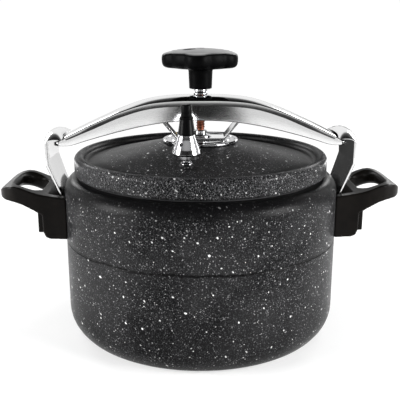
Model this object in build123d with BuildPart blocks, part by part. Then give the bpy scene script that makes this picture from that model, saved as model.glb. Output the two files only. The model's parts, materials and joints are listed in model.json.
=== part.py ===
from build123d import *
import math
import os

os.makedirs("parts", exist_ok=True)

# Stovetop pressure cooker, millimetres, +Z up, origin on the table at the pot's axis.

# Pot
POT_R = 130.0
POT_LOW_R = 129.2
POT_FOOT_R = 128.4
POT_CORNER_R = 15.0
POT_WALL = 3.5
POT_FLOOR = 5.0
BASE_R = POT_FOOT_R - POT_CORNER_R
LEDGE_Z = 92.5
LEDGE_H = 1.2
SHOULDER_Z = 137.0
SHOULDER_MID = (126.5, 146.2)
SHOULDER_INNER_MID = (123.8, 143.8)
RIM_Z = 150.0
RIM_T = 3.2
RIM_FLAT_R = 118.0
MOUTH_R = 104.0
STIRRUP_RIVET_Z = 118.0
STIRRUP_RIVET_Y = 17.0
RIVET_R = 2.4
RIVET_HOLE_R = 2.5

# Lid
SEAL_GAP = 0.1
LID_R = 120.0
LID_EDGE_Z = 152.2
BEAD_TOP_Z = 170.2
BEAD_RADIUS = 4.8
BEAD_CENTRE = (115.2, 165.4)
VALLEY_RADIUS = 3.4
VALLEY_CENTRE = (107.12, 166.82)
VALLEY_START = (106.35, 163.497)
VALLEY_LOW = (107.6, 163.454)
CONE_R = 104.2
CONE_Z = 164.0
HUB_R = 38.0
HUB_Z = 179.5
LID_T = 3.4
CHANNEL_IN_R = 103.6
CHANNEL_OUT_R = 116.6
CHANNEL_Z = 157.8
CHANNEL_LIP_R = 101.4
CHANNEL_LIP_Z = 151.6
CENTRE_HOLE_R = 7.2
CONE_SLOPE = (HUB_Z - CONE_Z) / (CONE_R - HUB_R)
VALLEY_SHARE = VALLEY_RADIUS / (VALLEY_RADIUS + BEAD_RADIUS)
BEAD_START = (
    VALLEY_CENTRE[0] + (BEAD_CENTRE[0] - VALLEY_CENTRE[0]) * VALLEY_SHARE,
    VALLEY_CENTRE[1] + (BEAD_CENTRE[1] - VALLEY_CENTRE[1]) * VALLEY_SHARE,
)

# Centre plate, bushing and clip
PLATE_R = 36.0
PLATE_T = 3.3
PLATE_RIM = 1.1
BUSH_R = 7.0
BUSH_FLANGE_R = 10.2
BUSH_FLANGE_T = 1.6
BUSH_BOTTOM_Z = 166.5
CLIP_T = 1.6
CLIP_HALF_W = 12.0
CLIP_FLAT_X = 22.0
CLIP_GAP = 0.1
PIN_X = 36.4
PIN_Z = 202.4
PIN_R = 2.0
PIN_HEAD_R = 2.9
EYE_R = 3.8

# Clamp bar: half sections as (distance from centre, top edge height, lower edge height, crown)
BAR_HALF_W = 19.0
BAR_T = 2.4
BAR_STATIONS = [
    (0.0, 220.3, 202.0, 4.3),
    (26.0, 219.9, 200.9, 4.1),
    (50.0, 217.3, 197.6, 3.3),
    (74.0, 210.3, 192.3, 2.2),
    (92.0, 202.8, 187.6, 1.7),
    (108.0, 195.6, 183.0, 1.5),
    (122.0, 188.9, 179.0, 1.2),
    (132.0, 184.0, 178.8, 0.9),
    (137.6, 181.4, 179.2, 0.7),
]
BOSS_R = 9.0
BOSS_TOP_Z = 220.6
BOSS_BOTTOM_Z = 205.5
WEB_HOLE_R = 5.5

# Screw, foot and knob
FOOT_BOTTOM_Z = 186.5
FOOT_TOP_Z = 190.6
FOOT_R = 6.3
SCREW_R = 4.1
SCREW_BORE_R = 4.4
SCREW_TOP_Z = 249.0
SCREW_TIP_R = 2.4
SCREW_TIP_Z = 188.2
TIP_BORE_R = 2.45
THREAD_PITCH = 2.5
THREAD_DEPTH = 0.55
INSERT_BOTTOM_Z = 225.0
INSERT_R = 6.2
INSERT_STEM_R = 5.4
STEM_BOTTOM_Z = 229.8
STEM_R_LOW = 10.6
STEM_R_TOP = 11.3
HEAD_BOTTOM_Z = 249.4
HEAD_EDGE_Z = 262.4
HEAD_TOP_Z = 267.0
HEAD_R = 36.4
LOBE_COUNT = 5
LOBE_R = 12.5
LOBE_START = -97.0

# Vent pipe and regulator
VENT_X = -13.8
VENT_Y = -73.0
VENT_PAD_Z = 172.2
VENT_PAD_R = 6.6
VENT_UNDER_Z = 165.6
PIPE_TOP_Z = 192.0
PIPE_R = 3.0
PIPE_NECK_R = 4.2
PIPE_BASE_R = 5.4
PIPE_THREAD_R = 3.8
PIPE_BORE_R = 1.3
NUT_H = 4.0
WASHER_T = 1.2
SKIRT_BOTTOM_Z = 177.8
SKIRT_TOP_Z = 198.3
CONE_TOP_Z = 212.6
GRIP_TOP_Z = 224.0

# Safety valve at the back of the lid
VALVE_X = -14.8
VALVE_Y = 73.0

# Stirrups
STIRRUP_HALF_W = 27.0
STIRRUP_T = 2.5
FOOT_FACE_X = 132.8
STIRRUP_FOOT_Z = 111.8
STIRRUP_BEND_Z = 128.0
STIRRUP_OUT_X = 144.5
STIRRUP_KNEE_Z = 162.5
HOOK_Z = 183.6
HOOK_R = 8.9
HOOK_END_DEG = 152.0

# Handles
HANDLE_HALF_W = 39.0
HANDLE_TIP_X = 190.0
HOLE_IN_X = 149.5
HOLE_OUT_X = 174.5
HOLE_HALF_W = 26.0
BRACKET_TOP_Z = 110.8
BRACKET_LOW_Z = 96.5
BRACKET_HALF_W = 20.0
SCREW_AXIS_Z = 104.5
HANDLE_SCREW_R = 2.5
WALL_GAP = 0.1

SIDES = (("left", -1), ("right", 1))


def cone_height(r):
    return CONE_Z + (CONE_R - r) * CONE_SLOPE


def save(solid, name):
    solid.label = name
    export_step(solid, f"parts/{name}.step")


def swing(solid, side):
    # The left piece is the mirror image of the right piece.
    return solid if side > 0 else mirror(solid, about=Plane.YZ)


# Pot base: thick disc set into the foot of the wall
with BuildPart() as pot_base:
    Cylinder(BASE_R, POT_FLOOR, align=(Align.CENTER, Align.CENTER, Align.MIN))
save(pot_base.part, "pot_base")

# Pot body: thin turned wall with a rounded foot, a ledge and an in-turned sealing rim
with BuildPart() as pot_body:
    with BuildSketch(Plane.XZ):
        with BuildLine():
            SagittaArc((BASE_R, 0), (POT_FOOT_R, POT_CORNER_R), -POT_CORNER_R * 0.29)
            Line((POT_FOOT_R, POT_CORNER_R), (POT_LOW_R, LEDGE_Z - LEDGE_H))
            Line((POT_LOW_R, LEDGE_Z - LEDGE_H), (POT_R - 0.1, LEDGE_Z))
            Line((POT_R - 0.1, LEDGE_Z), (POT_R, SHOULDER_Z))
            ThreePointArc((POT_R, SHOULDER_Z), SHOULDER_MID, (RIM_FLAT_R, RIM_Z))
            Line((RIM_FLAT_R, RIM_Z), (MOUTH_R, RIM_Z))
            Line((MOUTH_R, RIM_Z), (MOUTH_R, RIM_Z - RIM_T))
            Line((MOUTH_R, RIM_Z - RIM_T), (RIM_FLAT_R - 1.5, RIM_Z - RIM_T))
            ThreePointArc(
                (RIM_FLAT_R - 1.5, RIM_Z - RIM_T),
                SHOULDER_INNER_MID,
                (POT_R - POT_WALL, SHOULDER_Z - 1.5),
            )
            Line((POT_R - POT_WALL, SHOULDER_Z - 1.5), (POT_FOOT_R - POT_WALL, POT_CORNER_R))
            Line((POT_FOOT_R - POT_WALL, POT_CORNER_R), (BASE_R, POT_FLOOR))
            Line((BASE_R, POT_FLOOR), (BASE_R, 0))
        make_face()
    revolve(axis=Axis.Z)
    for side in (-1, 1):
        for rivet_y in (-STIRRUP_RIVET_Y, STIRRUP_RIVET_Y):
            with Locations(Location((side * POT_R, rivet_y, STIRRUP_RIVET_Z), (0, 90, 0))):
                Cylinder(RIVET_HOLE_R, 24, mode=Mode.SUBTRACT)
save(pot_body.part, "pot_body")


# Stirrup: pressed strip riveted to the wall, leaning out, then curled inward over the bar end
def make_stirrup():
    hook_x = STIRRUP_OUT_X - HOOK_R
    end = math.radians(HOOK_END_DEG)
    inner_r = HOOK_R - STIRRUP_T
    tip_out = (hook_x + HOOK_R * math.cos(end), HOOK_Z + HOOK_R * math.sin(end))
    tip_in = (hook_x + inner_r * math.cos(end), HOOK_Z + inner_r * math.sin(end))
    with BuildPart() as strip:
        with BuildSketch(Plane.XZ):
            with BuildLine():
                Line((122, STIRRUP_FOOT_Z), (FOOT_FACE_X, STIRRUP_FOOT_Z))
                Line((FOOT_FACE_X, STIRRUP_FOOT_Z), (FOOT_FACE_X, STIRRUP_BEND_Z))
                Line((FOOT_FACE_X, STIRRUP_BEND_Z), (STIRRUP_OUT_X, STIRRUP_KNEE_Z))
                Line((STIRRUP_OUT_X, STIRRUP_KNEE_Z), (STIRRUP_OUT_X, HOOK_Z))
                CenterArc((hook_x, HOOK_Z), HOOK_R, 0, HOOK_END_DEG)
                Line(tip_out, tip_in)
                CenterArc((hook_x, HOOK_Z), inner_r, HOOK_END_DEG, -HOOK_END_DEG)
                Line((hook_x + inner_r, HOOK_Z), (hook_x + inner_r, STIRRUP_KNEE_Z + 0.6))
                Line((hook_x + inner_r, STIRRUP_KNEE_Z + 0.6), (130.4, STIRRUP_BEND_Z + 1.0))
                Line((130.4, STIRRUP_BEND_Z + 1.0), (122, STIRRUP_BEND_Z + 1.0))
                Line((122, STIRRUP_BEND_Z + 1.0), (122, STIRRUP_FOOT_Z))
            make_face()
        extrude(amount=STIRRUP_HALF_W, both=True)
        with Locations((0, 0, STIRRUP_FOOT_Z)):
            Cylinder(
                POT_R + WALL_GAP,
                40,
                align=(Align.CENTER, Align.CENTER, Align.MIN),
                mode=Mode.SUBTRACT,
            )
        corner_edges = strip.edges().filter_by(lambda e: e.center().Z > 187 and e.center().X < 130)
        corner_edges = corner_edges.filter_by(lambda e: e.length < STIRRUP_T + 0.3)
        fillet(corner_edges, 6)
        for rivet_y in (-STIRRUP_RIVET_Y, STIRRUP_RIVET_Y):
            with Locations(Location((POT_R, rivet_y, STIRRUP_RIVET_Z), (0, 90, 0))):
                Cylinder(RIVET_HOLE_R, 24, mode=Mode.SUBTRACT)
    return strip.part


# Stirrup rivets: a pair through the strip's foot and the pot wall, with domed inner heads
def make_rivets():
    with BuildPart() as rivets:
        for rivet_y in (-STIRRUP_RIVET_Y, STIRRUP_RIVET_Y):
            wall_x = math.sqrt((POT_R - POT_WALL) ** 2 - (abs(rivet_y) + RIVET_R) ** 2) - 0.2
            head_x = wall_x - 0.6
            with Locations(Location((head_x, rivet_y, STIRRUP_RIVET_Z), (0, 90, 0))):
                Cylinder(
                    RIVET_R,
                    FOOT_FACE_X - 0.1 - head_x,
                    align=(Align.CENTER, Align.CENTER, Align.MIN),
                )
                Cylinder(RIVET_R + 1.4, 1.5, align=(Align.CENTER, Align.CENTER, Align.MAX))
    return rivets.part


# Handle bracket: block welded to the wall, with a threaded boss for the handle screw
def make_bracket():
    with BuildPart() as bracket:
        with Locations((122, 0, BRACKET_LOW_Z)):
            Box(
                FOOT_FACE_X - 122,
                2 * BRACKET_HALF_W,
                BRACKET_TOP_Z - BRACKET_LOW_Z,
                align=(Align.MIN, Align.CENTER, Align.MIN),
            )
        with Locations((0, 0, BRACKET_LOW_Z - 1)):
            Cylinder(
                POT_R + WALL_GAP,
                40,
                align=(Align.CENTER, Align.CENTER, Align.MIN),
                mode=Mode.SUBTRACT,
            )
        with Locations(Location((FOOT_FACE_X - 0.5, 0, SCREW_AXIS_Z), (0, 90, 0))):
            Cylinder(5.5, 7.5, align=(Align.CENTER, Align.CENTER, Align.MIN))
        with Locations(Location((FOOT_FACE_X + 7.5, 0, SCREW_AXIS_Z), (0, 90, 0))):
            Cylinder(
                HANDLE_SCREW_R + 0.1,
                9.0,
                align=(Align.CENTER, Align.CENTER, Align.MAX),
                mode=Mode.SUBTRACT,
            )
    return bracket.part


# Handle: moulded block hugging the wall, with an arched loop for the fingers
def make_handle():
    side_profile = [
        (120.0, 133.0),
        (133.0, 134.2),
        (141.0, 135.6),
        (150.0, 137.6),
        (158.0, 140.4),
        (166.0, 143.6),
        (174.0, 144.8),
        (182.0, 142.8),
        (187.6, 138.8),
    ]
    low_profile = [
        (HANDLE_TIP_X - 2.0, 131.8),
        (183.0, 131.2),
        (175.0, 130.4),
        (167.0, 128.4),
        (158.0, 124.0),
        (151.0, 119.5),
    ]
    with BuildPart() as grip:
        with BuildSketch(Plane.XZ):
            with BuildLine():
                Spline(*side_profile)
                ThreePointArc(side_profile[-1], (HANDLE_TIP_X, 134.8), low_profile[0])
                Spline(*low_profile)
                Polyline(
                    low_profile[-1],
                    (147.6, 118.0),
                    (147.2, 101.0),
                    (145.4, 96.4),
                    (141.5, 94.0),
                    (120.0, 93.4),
                    side_profile[0],
                )
            make_face()
        extrude(amount=HANDLE_HALF_W, both=True)
        with BuildSketch(Plane.XY.offset(80)):
            with BuildLine():
                Polyline((110, -36.4), (110, 36.4), (134, 36.4))
                Spline(
                    (134, 36.4),
                    (150, 37.8),
                    (165, 38.2),
                    (178.5, 34.2),
                    (187.2, 22.0),
                    (190.2, 0),
                    (187.2, -22.0),
                    (178.5, -34.2),
                    (165, -38.2),
                    (150, -37.8),
                    (134, -36.4),
                    tangents=[(1, 0), (-1, 0)],
                )
                Line((134, -36.4), (110, -36.4))
            make_face()
        extrude(amount=90, mode=Mode.INTERSECT)
        with BuildSketch(Plane.XY.offset(80)):
            with Locations(((HOLE_IN_X + HOLE_OUT_X) / 2, 0)):
                RectangleRounded(HOLE_OUT_X - HOLE_IN_X, 2 * HOLE_HALF_W, 12)
        extrude(amount=90, mode=Mode.SUBTRACT)
        # Screw boss on the outer face
        with Locations((140, 0, 98.5)):
            Box(13.0, 60.0, 21.0, align=(Align.MIN, Align.CENTER, Align.MIN))
        # Hollow for the pot wall
        with Locations((0, 0, 80)):
            Cylinder(
                POT_R + WALL_GAP,
                90,
                align=(Align.CENTER, Align.CENTER, Align.MIN),
                mode=Mode.SUBTRACT,
            )
        # Recess the stirrup rises through
        with BuildSketch(Plane.XZ):
            with BuildLine():
                Polyline(
                    (118, STIRRUP_FOOT_Z - 0.2),
                    (FOOT_FACE_X + 0.1, STIRRUP_FOOT_Z - 0.2),
                    (FOOT_FACE_X + 0.1, 122.0),
                    (143.5, 136.4),
                    (143.5, 150.0),
                    (118, 150.0),
                    (118, STIRRUP_FOOT_Z - 0.2),
                )
            make_face()
        extrude(amount=STIRRUP_HALF_W + 0.4, both=True, mode=Mode.SUBTRACT)
        # Pocket for the bracket and its boss, with the screw hole
        with Locations((118, 0, BRACKET_LOW_Z - 0.1)):
            Box(
                FOOT_FACE_X + 0.1 - 118,
                2 * BRACKET_HALF_W + 0.2,
                BRACKET_TOP_Z - BRACKET_LOW_Z + 0.2,
                align=(Align.MIN, Align.CENTER, Align.MIN),
                mode=Mode.SUBTRACT,
            )
        with Locations(Location((FOOT_FACE_X - 1, 0, SCREW_AXIS_Z), (0, 90, 0))):
            Cylinder(
                5.6,
                8.4,
                align=(Align.CENTER, Align.CENTER, Align.MIN),
                mode=Mode.SUBTRACT,
            )
            Cylinder(
                HANDLE_SCREW_R + 0.1,
                30,
                align=(Align.CENTER, Align.CENTER, Align.MIN),
                mode=Mode.SUBTRACT,
            )
        with Locations(Location((153.0, 0, SCREW_AXIS_Z), (0, 90, 0))):
            Cylinder(
                5.0,
                3.0,
                align=(Align.CENTER, Align.CENTER, Align.MAX),
                mode=Mode.SUBTRACT,
            )
    return grip.part


# Handle screw: pan head in the boss recess, shank into the bracket's boss
def make_handle_screw():
    with BuildPart() as screw:
        with Locations(Location((149.9, 0, SCREW_AXIS_Z), (0, 90, 0))):
            Cylinder(HANDLE_SCREW_R, 18.0, align=(Align.CENTER, Align.CENTER, Align.MAX))
        with Locations(Location((150.0, 0, SCREW_AXIS_Z), (0, 90, 0))):
            Cylinder(4.4, 2.4, align=(Align.CENTER, Align.CENTER, Align.MIN))
        with Locations((152.4, 0, SCREW_AXIS_Z)):
            Box(1.4, 1.0, 6.4, mode=Mode.SUBTRACT)
            Box(1.4, 6.4, 1.0, mode=Mode.SUBTRACT)
        with Locations(Location((149.95, 0, SCREW_AXIS_Z), (0, 90, 0))):
            Cylinder(HANDLE_SCREW_R, 0.2)
    return screw.part


for side_name, side in SIDES:
    save(swing(make_stirrup(), side), f"stirrup_{side_name}")
    save(swing(make_rivets(), side), f"stirrup_rivets_{side_name}")
    save(swing(make_bracket(), side), f"handle_bracket_{side_name}")
    save(swing(make_handle(), side), f"handle_{side_name}")
    save(swing(make_handle_screw(), side), f"handle_screw_{side_name}")


# Lid rim: thick ring with a rolled top, a groove inside it and the gasket channel below
JOIN_R = CHANNEL_LIP_R
JOIN_Z = cone_height(JOIN_R)
with BuildPart() as lid_rim:
    with BuildSketch(Plane.XZ):
        with BuildLine():
            Line((JOIN_R, JOIN_Z), VALLEY_START)
            ThreePointArc(VALLEY_START, VALLEY_LOW, BEAD_START)
            ThreePointArc(BEAD_START, (BEAD_CENTRE[0], BEAD_TOP_Z), (LID_R, BEAD_CENTRE[1]))
            Line((LID_R, BEAD_CENTRE[1]), (LID_R, 154.0))
            SagittaArc((LID_R, 154.0), (118.2, LID_EDGE_Z), 0.5)
            Line((118.2, LID_EDGE_Z), (CHANNEL_OUT_R, LID_EDGE_Z))
            Line((CHANNEL_OUT_R, LID_EDGE_Z), (CHANNEL_OUT_R, CHANNEL_Z))
            Line((CHANNEL_OUT_R, CHANNEL_Z), (CHANNEL_IN_R, CHANNEL_Z))
            Line((CHANNEL_IN_R, CHANNEL_Z), (CHANNEL_IN_R, CHANNEL_LIP_Z))
            Line((CHANNEL_IN_R, CHANNEL_LIP_Z), (JOIN_R, CHANNEL_LIP_Z))
            Line((JOIN_R, CHANNEL_LIP_Z), (JOIN_R, JOIN_Z))
        make_face()
    revolve(axis=Axis.Z)
save(lid_rim.part, "lid_rim")

# Lid shell: shallow cone with a flat hub and two valve bosses
with BuildPart() as lid_shell:
    with BuildSketch(Plane.XZ):
        with BuildLine():
            Polyline(
                (CENTRE_HOLE_R, HUB_Z),
                (HUB_R, HUB_Z),
                (JOIN_R, JOIN_Z),
                (JOIN_R, JOIN_Z - LID_T),
                (HUB_R, HUB_Z - LID_T),
                (CENTRE_HOLE_R, HUB_Z - LID_T),
                (CENTRE_HOLE_R, HUB_Z),
            )
        make_face()
    revolve(axis=Axis.Z)
    for pad_x, pad_y in ((VENT_X, VENT_Y), (VALVE_X, VALVE_Y)):
        with Locations((pad_x, pad_y, VENT_UNDER_Z)):
            Cylinder(
                VENT_PAD_R,
                VENT_PAD_Z - VENT_UNDER_Z,
                align=(Align.CENTER, Align.CENTER, Align.MIN),
            )
            Cylinder(
                PIPE_THREAD_R + 0.1,
                VENT_PAD_Z - VENT_UNDER_Z,
                align=(Align.CENTER, Align.CENTER, Align.MIN),
                mode=Mode.SUBTRACT,
            )
save(lid_shell.part, "lid_shell")


# Lid gasket: square-section rubber ring with two sealing lips
with BuildPart() as lid_gasket:
    with BuildSketch(Plane.XZ):
        with BuildLine():
            Polyline(
                (CHANNEL_IN_R + 0.1, CHANNEL_Z - 0.1),
                (CHANNEL_IN_R + 0.1, 152.0),
                (CHANNEL_IN_R + 1.6, RIM_Z + SEAL_GAP),
                (108.4, RIM_Z + SEAL_GAP),
                (110.2, 151.6),
                (112.0, RIM_Z + SEAL_GAP),
                (115.0, RIM_Z + SEAL_GAP),
                (CHANNEL_OUT_R - 0.1, 152.0),
                (CHANNEL_OUT_R - 0.1, CHANNEL_Z - 0.1),
                (CHANNEL_IN_R + 0.1, CHANNEL_Z - 0.1),
            )
        make_face()
    revolve(axis=Axis.Z)
save(lid_gasket.part, "lid_gasket")


# Centre plate: bright disc with a raised rim, seated on the lid's flat hub
PLATE_Z = HUB_Z + PLATE_T
with BuildPart() as centre_plate:
    with BuildSketch(Plane.XZ):
        with BuildLine():
            Polyline(
                (CENTRE_HOLE_R, HUB_Z),
                (PLATE_R - 1.0, HUB_Z),
                (PLATE_R, HUB_Z + 1.0),
                (PLATE_R, PLATE_Z - 0.8),
                (PLATE_R - 0.8, PLATE_Z),
                (PLATE_R - 3.2, PLATE_Z),
                (PLATE_R - 4.4, PLATE_Z - PLATE_RIM),
                (28.4, PLATE_Z - PLATE_RIM),
                (27.2, PLATE_Z),
                (CENTRE_HOLE_R, PLATE_Z),
                (CENTRE_HOLE_R, HUB_Z),
            )
        make_face()
    revolve(axis=Axis.Z)
save(centre_plate.part, "centre_plate")

# Swivel bushing: shank through plate and lid, with a flange that keeps the clip down
CLIP_Z = PLATE_Z + CLIP_GAP
FLANGE_Z = CLIP_Z + CLIP_T + CLIP_GAP
with BuildPart() as swivel_bushing:
    with Locations((0, 0, BUSH_BOTTOM_Z)):
        Cylinder(BUSH_R, FLANGE_Z - BUSH_BOTTOM_Z, align=(Align.CENTER, Align.CENTER, Align.MIN))
    with BuildSketch(Plane.XY.offset(FLANGE_Z)):
        Circle(BUSH_FLANGE_R)
    extrude(amount=BUSH_FLANGE_T)
    flange_edge = swivel_bushing.edges().filter_by(GeomType.CIRCLE).sort_by(Axis.Z)[-1]
    chamfer(flange_edge, 0.5)
save(swivel_bushing.part, "swivel_bushing")


def make_hex_nut(across, bore, height):
    with BuildPart() as nut:
        with BuildSketch(Plane.XY):
            RegularPolygon(across / 2, 6, major_radius=False)
            Circle(bore, mode=Mode.SUBTRACT)
        extrude(amount=height)
    return nut.part


def make_washer(outer, bore, height):
    with BuildPart() as ring:
        with BuildSketch(Plane.XY):
            Circle(outer)
            Circle(bore, mode=Mode.SUBTRACT)
        extrude(amount=height)
    return ring.part


# Nuts and washers inside the lid
HUB_UNDER_Z = HUB_Z - LID_T
save(
    make_hex_nut(22, BUSH_R + 0.1, 6.0).moved(Location((0, 0, HUB_UNDER_Z - 6.1))),
    "bushing_nut",
)
WASHER_Z = VENT_UNDER_Z - WASHER_T - 0.05
NUT_Z = WASHER_Z - NUT_H - 0.05
for owner, at_x, at_y in (("vent", VENT_X, VENT_Y), ("valve", VALVE_X, VALVE_Y)):
    washer = make_washer(VENT_PAD_R + 0.8, PIPE_THREAD_R + 0.1, WASHER_T)
    save(washer.moved(Location((at_x, at_y, WASHER_Z))), f"{owner}_washer")
    nut = make_hex_nut(12, PIPE_THREAD_R + 0.1, NUT_H)
    save(nut.moved(Location((at_x, at_y, NUT_Z))), f"{owner}_nut")


def turned(points, at_x, at_y):
    # Solid of revolution from (radius, height) points, standing at the given place.
    with BuildPart() as shape:
        with BuildSketch(Plane.XZ):
            with BuildLine():
                Polyline(*points, points[0])
            make_face()
        revolve(axis=Axis.Z)
    return shape.part.moved(Location((at_x, at_y, 0)))


# Vent pipe: threaded tail, base flange, neck and slim nozzle with a through bore
vent_points = [
    (PIPE_BORE_R, NUT_Z - 1.6),
    (PIPE_THREAD_R, NUT_Z - 1.6),
    (PIPE_THREAD_R, VENT_PAD_Z + 0.05),
    (PIPE_BASE_R, VENT_PAD_Z + 0.05),
    (PIPE_BASE_R, VENT_PAD_Z + 1.6),
    (PIPE_NECK_R, VENT_PAD_Z + 3.0),
    (PIPE_NECK_R, VENT_PAD_Z + 6.2),
    (PIPE_R, VENT_PAD_Z + 8.0),
    (PIPE_R, PIPE_TOP_Z - 0.6),
    (PIPE_R - 0.6, PIPE_TOP_Z),
    (PIPE_BORE_R, PIPE_TOP_Z),
]
save(turned(vent_points, VENT_X, VENT_Y), "vent_pipe")

# Regulator needle: cone point resting in the nozzle, with a stem up into the weight
needle_points = [
    (0, PIPE_TOP_Z - 0.7),
    (2.2, PIPE_TOP_Z + 1.5),
    (2.2, 208.0),
    (0, 208.0),
]
save(turned(needle_points, VENT_X, VENT_Y), "regulator_needle")

# Regulator skirt: bright bell with a stepped lower lip and three steam holes
skirt_points = [
    (2.25, 194.2),
    (3.6, 193.0),
    (3.6, 186.6),
    (9.2, 181.4),
    (9.2, SKIRT_BOTTOM_Z),
    (10.7, SKIRT_BOTTOM_Z),
    (11.2, SKIRT_BOTTOM_Z + 0.6),
    (11.2, 181.6),
    (12.3, 182.0),
    (12.5, 182.9),
    (11.6, 186.0),
    (10.0, 190.4),
    (8.4, 194.6),
    (7.3, SKIRT_TOP_Z),
    (3.2, SKIRT_TOP_Z),
    (3.2, 208.2),
    (2.25, 208.2),
]
with BuildPart() as regulator_skirt:
    with BuildSketch(Plane.XZ):
        with BuildLine():
            Polyline(*skirt_points, skirt_points[0])
        make_face()
    revolve(axis=Axis.Z)
    for hole_deg in (-119, 1, 121):
        with Locations(Location((0, 0, 191.0), (0, 0, hole_deg))):
            with Locations(Location((12.0, 0, 0), (0, 90, 0))):
                Cylinder(
                    1.6,
                    9.0,
                    align=(Align.CENTER, Align.CENTER, Align.MAX),
                    mode=Mode.SUBTRACT,
                )
save(regulator_skirt.part.moved(Location((VENT_X, VENT_Y, 0))), "regulator_skirt")

# Regulator cone: heat-resistant moulded body pressed over the skirt's spigot
cone_points = [
    (3.25, SKIRT_TOP_Z + 0.05),
    (7.2, SKIRT_TOP_Z + 0.05),
    (7.4, 199.2),
    (5.5, 211.9),
    (5.9, 212.2),
    (5.9, CONE_TOP_Z + 0.6),
    (5.4, CONE_TOP_Z + 1.1),
    (3.05, CONE_TOP_Z + 1.1),
    (3.05, 208.4),
    (3.25, 208.2),
]
save(turned(cone_points, VENT_X, VENT_Y), "regulator_cone")

# Regulator grip: thin top cylinder with a peg into the cone
grip_points = [
    (0, 208.6),
    (2.9, 208.6),
    (2.9, CONE_TOP_Z + 1.15),
    (4.7, CONE_TOP_Z + 1.15),
    (4.7, GRIP_TOP_Z - 0.7),
    (4.0, GRIP_TOP_Z),
    (0, GRIP_TOP_Z),
]
save(turned(grip_points, VENT_X, VENT_Y), "regulator_grip")

# Safety valve: body, spring-loaded plunger, spring
CHAMBER_LOW_Z = VENT_PAD_Z + 1.0
CHAMBER_TOP_Z = VENT_PAD_Z + 8.6
VALVE_TAIL_Z = NUT_Z - 1.6
body_points = [
    (2.6, VALVE_TAIL_Z),
    (PIPE_THREAD_R, VALVE_TAIL_Z),
    (PIPE_THREAD_R, VENT_PAD_Z + 0.05),
    (6.2, VENT_PAD_Z + 0.05),
    (6.2, CHAMBER_TOP_Z - 0.4),
    (5.6, CHAMBER_TOP_Z + 1.0),
    (2.6, CHAMBER_TOP_Z + 1.0),
    (2.6, CHAMBER_TOP_Z),
    (4.4, CHAMBER_TOP_Z),
    (4.4, CHAMBER_LOW_Z),
    (2.6, CHAMBER_LOW_Z),
]
save(turned(body_points, VALVE_X, VALVE_Y), "valve_body")
plunger_points = [
    (0, VALVE_TAIL_Z - 1.0),
    (2.2, VALVE_TAIL_Z - 1.0),
    (2.2, CHAMBER_LOW_Z + 0.1),
    (3.9, CHAMBER_LOW_Z + 0.1),
    (3.9, CHAMBER_LOW_Z + 0.9),
    (2.2, CHAMBER_LOW_Z + 0.9),
    (2.2, CHAMBER_TOP_Z + 1.8),
    (1.6, CHAMBER_TOP_Z + 2.4),
    (0, CHAMBER_TOP_Z + 2.4),
]
save(turned(plunger_points, VALVE_X, VALVE_Y), "valve_plunger")
SPRING_LOW_Z = CHAMBER_LOW_Z + 1.3
SPRING_HIGH_Z = CHAMBER_TOP_Z - 0.4
SPRING_R = 3.3
SPRING_PITCH = 1.3
WIRE_R = 0.28
with BuildPart() as valve_spring:
    with BuildLine():
        coil = Helix(SPRING_PITCH, SPRING_HIGH_Z - SPRING_LOW_Z, SPRING_R)
    with BuildSketch(Plane(origin=coil @ 0, z_dir=coil % 0)):
        Circle(WIRE_R)
    sweep(path=coil, is_frenet=True)
save(valve_spring.part.moved(Location((VALVE_X, VALVE_Y, SPRING_LOW_Z))), "valve_spring")


# Clamp bar: arched channel with a crowned web, tapering to both ends
BAR_ALL = [(-x, t, b, c) for x, t, b, c in reversed(BAR_STATIONS[1:])] + BAR_STATIONS


def arched_solid(half_w, drop, fixed_low_z):
    # Solid through every bar section; a fixed lower height makes the hollow's cutter.
    with BuildPart() as arch:
        for x, top_z, low_z, crown in BAR_ALL:
            edge_z = top_z - drop
            foot_z = fixed_low_z if fixed_low_z else low_z
            with BuildSketch(Plane.YZ.offset(x)):
                with BuildLine():
                    Line((-half_w, foot_z), (half_w, foot_z))
                    Line((half_w, foot_z), (half_w, edge_z))
                    ThreePointArc((half_w, edge_z), (0, edge_z + crown), (-half_w, edge_z))
                    Line((-half_w, edge_z), (-half_w, foot_z))
                make_face()
        loft()
    return arch.part


with BuildPart() as clamp_bar:
    add(arched_solid(BAR_HALF_W, 0, None))
    add(arched_solid(BAR_HALF_W - BAR_T, BAR_T, 150.0), mode=Mode.SUBTRACT)
    with Locations((0, 0, 210)):
        Cylinder(
            WEB_HOLE_R,
            30,
            align=(Align.CENTER, Align.CENTER, Align.MIN),
            mode=Mode.SUBTRACT,
        )
    for pin_x in (-PIN_X, PIN_X):
        with Locations(Location((pin_x, 0, PIN_Z), (90, 0, 0))):
            Cylinder(PIN_R + 0.05, 60, mode=Mode.SUBTRACT)
save(clamp_bar.part, "clamp_bar")

# Threaded boss under the bar's web
with BuildPart() as bar_boss:
    with BuildSketch(Plane.XY.offset(BOSS_BOTTOM_Z)):
        Circle(BOSS_R)
        Circle(SCREW_BORE_R, mode=Mode.SUBTRACT)
    extrude(amount=BOSS_TOP_Z - BOSS_BOTTOM_Z)
save(bar_boss.part, "bar_boss")

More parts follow.
